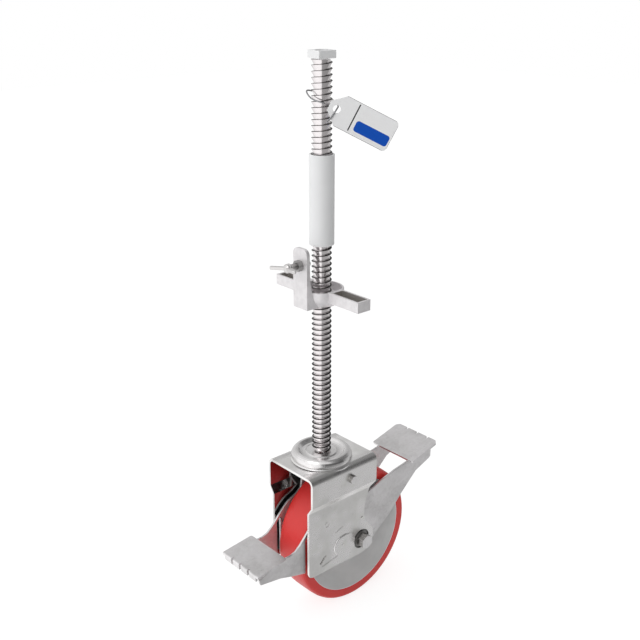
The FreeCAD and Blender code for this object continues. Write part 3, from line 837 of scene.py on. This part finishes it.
class Castor:
    """Shared work of the sub-assemblies: finishes, new pieces and how they ride."""

    def __init__(self, frame: Dict[str, object]) -> None:
        """Keeps the loaded frame and builds the finishes on demand."""
        self.nodes: Dict[str, bpy.types.Object] = frame["nodes"]
        self.made: Dict[Look, bpy.types.Material] = {}

    def finish(self, look: Look) -> bpy.types.Material:
        """The material of a finish, made once.

        Args:
            look: the finish.

        Returns:
            Its material.
        """
        if look not in self.made:
            self.made[look] = look.build()
        return self.made[look]

    def dress(self, node: str, look: Look, edges: Optional[Union[Softening, Rounding]] = None) -> None:
        """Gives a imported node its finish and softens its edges.

        Args:
            node: the node's name.
            look: its finish.
            edges: the round on its edges, if it gets one.
        """
        piece = self.nodes[node]
        piece.data.materials.clear()
        piece.data.materials.append(self.finish(look))
        if edges is not None:
            edges.apply(piece)
        LOG.info("dressed %s", node)

    def place(self, name: str, mesh: bpy.types.Mesh, body: str, look: Look, slot: str,
              replaces: Sequence[str] = ()) -> bpy.types.Object:
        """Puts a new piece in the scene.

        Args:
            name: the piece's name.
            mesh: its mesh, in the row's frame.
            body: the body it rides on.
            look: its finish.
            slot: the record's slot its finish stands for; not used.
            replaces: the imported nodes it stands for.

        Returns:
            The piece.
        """
        piece = bpy.data.objects.new(name, mesh)
        bpy.context.scene.collection.objects.link(piece)
        mesh.materials.append(self.finish(look))
        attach(piece, body)
        if replaces:
            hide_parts(*replaces)
        LOG.info("placed %s on %s", name, body)
        return piece


FORK_ZINC = ForkZinc()
# The brake sheets' upward faces get painted shade through level.
PLATE_ZINC = PressedZinc("plate_zinc", (0.80, 0.78, 0.79), (0.75, 0.735, 0.735), polish=0.36, mirror=0.40,
                         spangle=0.26, shaded=0.0, level=0.22, dull=0.3)
CAP_ZINC = PressedZinc("cap_zinc", (0.78, 0.765, 0.765), (0.75, 0.74, 0.735), polish=0.17, mirror=0.17,
                       spangle=0.02, shaded=0.0)
THREAD = ThreadSteel()
CASTING = CastPlate()
BOLT = BoltSteel()
# The washers' deep tone is painted shade of the recess round the axle.
WASHER = PlatedSteel("washer_steel", (0.26, 0.255, 0.25), 0.26)
TIE = PlatedSteel("tie_wire", (0.30, 0.30, 0.31), 0.34)
SCREW = PlatedSteel("screw_steel", (0.36, 0.355, 0.35), 0.28)
WING = WingPlate()
WHITE = SmoothPlastic("white_plastic", (0.92, 0.925, 0.93), (0.90, 0.905, 0.91), 0.36)
TAG = TagPlastic()
CORE = WheelPlastic()
TREAD = CastTyre()
BLACK = SmoothPlastic("black_rubber", (0.02, 0.02, 0.02), (0.016, 0.016, 0.016), 0.55)


@dataclass
class Spindle:
    """Threaded bar, its stop, its sleeve and the blank swing tag.

    The thread's sizes are in millimetres. Each pair from root_round to toe shapes one corner of the tooth:
    how far the corner is from the root or the crest, and how far along the bar it is from the tooth's foot,
    its peak or its end. A face whose normal rises by an amount within slope is one of the long slopes. The
    seam's merging distance is in metres.
    """

    crest: float = 13.0
    root: float = 9.4
    pitch: float = 7.08
    low: float = 2.4
    high: float = 516.6
    top_flank: float = 0.9
    phase: float = -1.9
    root_round: Pair = (0.10, 0.35)
    slope_foot: Pair = (0.50, 1.10)
    slope_head: Pair = (0.55, 0.75)
    crest_round: Pair = (0.12, 0.22)
    lip: Pair = (0.18, 0.16)
    toe: Pair = (0.35, 0.12)
    sides: int = 56
    spare_turns: int = 2
    seam: float = 1e-7
    side_corners: int = 8
    slope: Pair = (-0.8, 0.3)
    droop: float = 0.05
    stop_edge: Softening = Softening(0.0006, 3)
    tag_edge: Softening = Softening(0.0002, 2)
    wire_edge: Rounding = Rounding()

    def tooth(self) -> List[Pair]:
        """Radius and rise of the points of one pitch, from a root to the next."""
        peak = self.pitch - self.top_flank
        return [(self.root, 0.0),
                (self.root + self.root_round[0], self.root_round[1]),
                (self.root + self.slope_foot[0], self.slope_foot[1]),
                (self.crest - self.slope_head[0], peak - self.slope_head[1]),
                (self.crest - self.crest_round[0], peak - self.crest_round[1]),
                (self.crest, peak),
                (self.crest - self.lip[0], peak + self.lip[1]),
                (self.root + self.toe[0], self.pitch - self.toe[1])]

    def wind(self, build: bmesh.types.BMesh) -> None:
        """Winds the tooth's profile round the spindle as one skin.

        Args:
            build: the empty mesh that gets it.
        """
        tooth = self.tooth()
        first = int((self.low - self.phase) / self.pitch) - self.spare_turns
        last = int((self.high - self.phase) / self.pitch) + self.spare_turns
        rows = []
        for step in range((last - first) * self.sides + 1):
            turn = 2 * math.pi * step / self.sides
            base = self.phase + self.pitch * (first + step / self.sides)
            row = []
            for radius, rise in tooth + [(self.root, self.pitch)]:
                at = Vector((radius * math.cos(turn), radius * math.sin(turn), base + rise))
                row.append(build.verts.new(at * MM))
            rows.append(row)
        for a, b in zip(rows, rows[1:]):
            for i in range(len(tooth)):
                build.faces.new((a[i], b[i], b[i + 1], a[i + 1]))
        bmesh.ops.remove_doubles(build, verts=build.verts, dist=self.seam)

    def trim(self, build: bmesh.types.BMesh) -> None:
        """Cuts the skin level at both ends and closes it there.

        Args:
            build: the wound skin.
        """
        for height, below in ((self.low, True), (self.high, False)):
            parts = build.verts[:] + build.edges[:] + build.faces[:]
            cut = bmesh.ops.bisect_plane(build, geom=parts, plane_co=(0, 0, height * MM), plane_no=(0, 0, 1),
                                         clear_inner=below, clear_outer=not below)
            rim = [e for e in cut["geom_cut"] if isinstance(e, bmesh.types.BMEdge)]
            bmesh.ops.contextual_create(build, geom=rim)

    def thread_mesh(self) -> bpy.types.Mesh:
        """The thread as one closed mesh, smooth on all but its two ends."""
        build = bmesh.new()
        self.wind(build)
        self.trim(build)
        bmesh.ops.recalc_face_normals(build, faces=build.faces)
        for face in build.faces:
            face.smooth = len(face.verts) <= self.side_corners
        mesh = bpy.data.meshes.new("spindle_thread")
        build.to_mesh(mesh)
        build.free()
        return mesh

    def roll(self, mesh: bpy.types.Mesh) -> None:
        """Levels the normals of the long slopes, so that they shine as a rolled bar does.

        Args:
            mesh: the thread.
        """
        normals = []
        for polygon in mesh.polygons:
            sloping = self.slope[0] < polygon.normal.z < self.slope[1]
            for index in polygon.vertices:
                at = mesh.vertices[index].co
                out = Vector((at.x, at.y, 0.0)).normalized()
                normals.append(out - Vector((0, 0, self.droop)) if sloping else polygon.normal.copy())
        mesh.normals_split_custom_set([normal.normalized() for normal in normals])

    def build(self, castor: Castor) -> None:
        """Dresses the spindle's set."""
        mesh = self.thread_mesh()
        self.roll(mesh)
        castor.place("spindle_thread", mesh, "stem", THREAD, "spindle_steel", ["spindle"])
        castor.dress("end_stop", WHITE, self.stop_edge)
        castor.dress("sleeve", WHITE)
        castor.dress("tag", TAG, self.tag_edge)
        castor.dress("tag_wire", TIE, self.wire_edge)


@dataclass
class SwivelHead:
    """Bearing cap, races, balls and seal."""

    bearings: Tuple[str, ...] = ("upper_balls", "lower_balls", "lower_race")

    def build(self, castor: Castor) -> None:
        """Dresses the head's set."""
        castor.dress("bearing_cap", CAP_ZINC)
        castor.dress("dust_seal", BLACK)
        for node in self.bearings:
            castor.dress(node, BOLT)


@dataclass
class Fork:
    """Pressed fork with its pins, bolt and bushes."""

    pins: Tuple[str, ...] = ("cross_pin", "axle_bolt", "axle_nut", "axle_tube", "pivot_bushes")
    sheet_edge: Softening = Softening(0.0007, 3)
    pin_edge: Softening = Softening(0.0003, 2)
    washer_edge: Softening = Softening(0.0002, 2)
    spring_edge: Rounding = Rounding()

    def build(self, castor: Castor) -> None:
        """Dresses the fork's set."""
        castor.dress("fork", FORK_ZINC, self.sheet_edge)
        for node in self.pins:
            castor.dress(node, BOLT, self.pin_edge)
        castor.dress("axle_washers", WASHER, self.washer_edge)
        castor.dress("return_spring", TIE, self.spring_edge)


@dataclass
class Wheel:
    """Wheel core and its cast tread."""

    def build(self, castor: Castor) -> None:
        """Dresses the wheel's set."""
        castor.dress("wheel_core", CORE)
        castor.dress("tread", TREAD)
        castor.dress("hub_bushes", BLACK)


@dataclass
class Brake:
    """Rocking plates with their pedals, and the lever that presses on the tread."""

    sheets: Tuple[str, ...] = ("brake_plate_near", "brake_plate_far", "front_pedal", "rear_pedal",
                               "brake_lever")
    sheet_edge: Softening = Softening(0.0005, 3)

    def build(self, castor: Castor) -> None:
        """Dresses the brake's set."""
        for node in self.sheets:
            castor.dress(node, PLATE_ZINC, self.sheet_edge)
        castor.dress("push_bar", BOLT)
        castor.dress("brake_pad", BLACK)


@dataclass
class AdjustingNut:
    """Cast nut with its clamp screw."""

    cast_edge: Softening = Softening(0.0007, 3)
    nut_edge: Softening = Softening(0.0003, 2)
    wing_edge: Softening = Softening(0.0005, 3)

    def build(self, castor: Castor) -> None:
        """Dresses the nut's set."""
        castor.dress("adjusting_nut", CASTING, self.cast_edge)
        castor.dress("clamp_nut", SCREW, self.nut_edge)
        castor.dress("wing_screw", WING, self.wing_edge)


@dataclass
class Studio:
    """Pale floor, soft light and the camera."""

    ground: float = -0.240
    heading: float = math.radians(41.393)
    pitch: float = math.radians(20.346)
    eye: Point = (-0.7698, -0.8702, 0.6196)
    lens: float = 53.75
    sensor: float = 36.0
    far: float = 20.0
    paper_size: float = 6.0
    paper_bounce: Colour = (0.85, 0.85, 0.85)
    paper_seen: Colour = (0.34, 0.34, 0.34)
    paper_rough: float = 0.9
    paper_glow: float = 0.82
    middle: float = 0.90
    lean: float = 0.34
    sink: float = 0.10
    dim: float = 0.13
    foot: float = 0.46
    card_turn: float = math.radians(-92.0)
    card_left: Pair = (-0.655, -0.625)
    card_right: Pair = (0.69, 0.85)
    card_front: Pair = (0.0, 0.1)
    card_top: Pair = (0.45, 0.75)
    card_bottom: Pair = (-0.95, -0.70)
    card_fade: Pair = (-0.30, -0.03)
    high_card: Point = (0.58, -0.41, 0.70)
    high_edge: Pair = (0.72, 0.90)
    high_shade: float = 0.62
    key_place: Point = (-1.7, -0.3, 1.7)
    key_aim: Point = (0.0, 0.0, 0.1)
    key_side: float = 1.2
    key_watts: float = 5.0

    def camera(self) -> None:
        """Places the camera at the photograph's viewpoint."""
        data = bpy.data.cameras.new("camera")
        data.lens = self.lens
        data.sensor_width = self.sensor
        data.clip_end = self.far
        camera = bpy.data.objects.new("camera", data)
        sin_a, cos_a = math.sin(self.heading), math.cos(self.heading)
        sin_p, cos_p = math.sin(self.pitch), math.cos(self.pitch)
        right = Vector((cos_a, -sin_a, 0.0))
        upward = Vector((sin_a * sin_p, cos_a * sin_p, cos_p))
        back = Vector((-sin_a * cos_p, -cos_a * cos_p, sin_p))
        turn = Matrix((right, upward, back)).transposed()
        camera.matrix_world = Matrix.Translation(self.eye) @ turn.to_4x4()
        bpy.context.scene.collection.objects.link(camera)
        bpy.context.scene.camera = camera

    def floor(self) -> None:
        """Lays the pale floor, which shows as plain paper and keeps the shadow."""
        build = bmesh.new()
        bmesh.ops.create_grid(build, x_segments=2, y_segments=2, size=self.paper_size)
        mesh = bpy.data.meshes.new("floor")
        build.to_mesh(mesh)
        build.free()
        floor = bpy.data.objects.new("floor", mesh)
        floor.location.z = self.ground
        floor.visible_glossy = False
        bpy.context.scene.collection.objects.link(floor)
        shader = Shader.named("paper_floor")
        seen = shader.sees(Ray.CAMERA)
        paper = shader.blend(seen, self.paper_bounce, self.paper_seen)
        shader.set(Base_Color=paper, Roughness=self.paper_rough, Specular_IOR_Level=0.0)
        light = {"Color": WHITE_LIGHT, "Strength": seen * self.paper_glow}
        glow = shader.add("ShaderNodeEmission", {}, light)
        lit = Wire(shader, shader.surface.outputs[0])
        shader.show(shader.add("ShaderNodeAddShader", {}, {0: lit, 1: glow}))
        mesh.materials.append(shader.material)

    def surround(self, shader: Shader) -> Wire:
        """Grey of the studio round the object, with a tall dark card on the near side and one higher up.

        Args:
            shader: the world.

        Returns:
            The grey in each direction.
        """
        x = shader.at(Axis.X)
        y = shader.at(Axis.Y)
        z = shader.at(Axis.Z)
        reach = (x * x + y * y).either(TINY) ** 0.5
        sine, cosine = math.sin(self.card_turn), math.cos(self.card_turn)
        toward = (x * cosine + y * sine) / reach
        aside = (y * cosine - x * sine) / reach
        card = aside.rising(*self.card_left).both(aside.falling(*self.card_right))
        card = card.both(toward.rising(*self.card_front))
        card = card.both(z.falling(*self.card_top)).both(z.rising(*self.card_bottom))
        shade = self.foot - z.rising(*self.card_fade) * (self.foot - self.dim)
        grey = (self.middle - x * self.lean - z * self.sink) * (1.0 - card) + card * shade
        high = shader.along(self.high_card).rising(*self.high_edge)
        return grey * (1.0 - high * self.high_shade)

    def world(self) -> None:
        """Studio surround: white paper to the eye, and the grey studio to the light."""
        world = bpy.data.worlds.new("studio")
        bpy.context.scene.world = world
        shader = Shader(world)
        grey = self.surround(shader)
        seen = shader.sees(Ray.CAMERA).either(shader.sees(Ray.TRANSMISSION))
        light = {"Color": WHITE_LIGHT, "Strength": seen + (1.0 - seen) * grey}
        shader.show(shader.add("ShaderNodeBackground", {}, light))

    def key(self) -> None:
        """Adds the square soft lamp."""
        data = bpy.data.lights.new("key", "AREA")
        data.size = self.key_side
        data.energy = self.key_watts
        lamp = bpy.data.objects.new("key", data)
        lamp.location = self.key_place
        lamp.rotation_mode = "QUATERNION"
        lamp.rotation_quaternion = (Vector(self.key_aim) - Vector(self.key_place)).to_track_quat("-Z", "Y")
        bpy.context.scene.collection.objects.link(lamp)

    def build(self) -> None:
        """Sets the whole studio."""
        self.camera()
        self.floor()
        self.world()
        self.key()
        scene = bpy.context.scene
        scene.view_settings.view_transform = "Standard"


def main() -> None:
    """Builds the studio and every sub-assembly."""
    logging.basicConfig(level=logging.INFO)
    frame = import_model()
    Studio().build()
    castor = Castor(frame)
    for assembly in (Spindle(), SwivelHead(), Fork(), Wheel(), Brake(), AdjustingNut()):
        assembly.build(castor)


if __name__ == "__main__":
    main()
